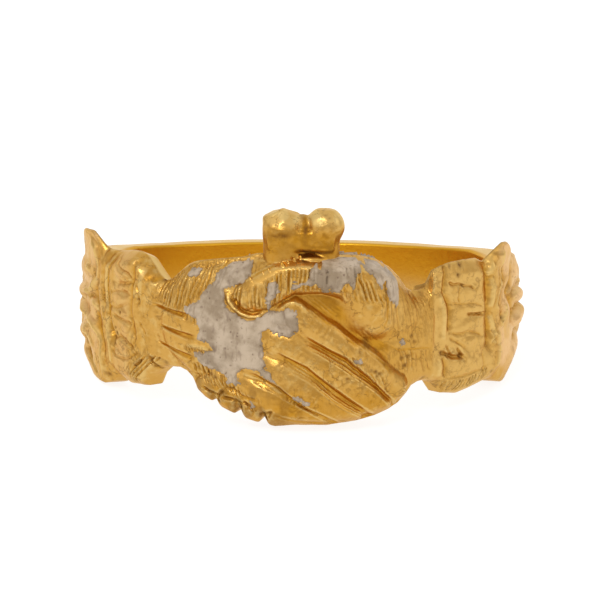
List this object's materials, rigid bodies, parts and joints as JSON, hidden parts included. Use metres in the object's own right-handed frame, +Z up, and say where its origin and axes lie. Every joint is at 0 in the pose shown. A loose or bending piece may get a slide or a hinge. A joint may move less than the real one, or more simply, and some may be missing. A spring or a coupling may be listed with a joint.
{
  "type": "fede ring",
  "caption": "Worn gold finger ring whose front is two clasped hands with traces of white enamel, between puffed cuffs and leafy shoulders, with a pair of pellets on top.",
  "frame": {"origin": "centre of the finger hole, on its axis, level with the middle of the plain hoop", "axes": "+Z up, with the ring lying on its side at rest; the clasped hands face -Y; +X to the viewer's right; the hole's axis leans back 7.65 degrees from +Z because the hands and shoulders are deeper than the hoop"},
  "size_m": [0.0204, 0.021, 0.01],
  "materials": {
    "gold": null,
    "enamel": "opaque greyish white enamel, worn, speckled with brown pits"
  },
  "bodies": {
    "root": {"gold_ring": "gold", "enamel_left_hand": "enamel", "enamel_thumb": "enamel", "enamel_flecks": "enamel"}
  },
  "joints": []
}
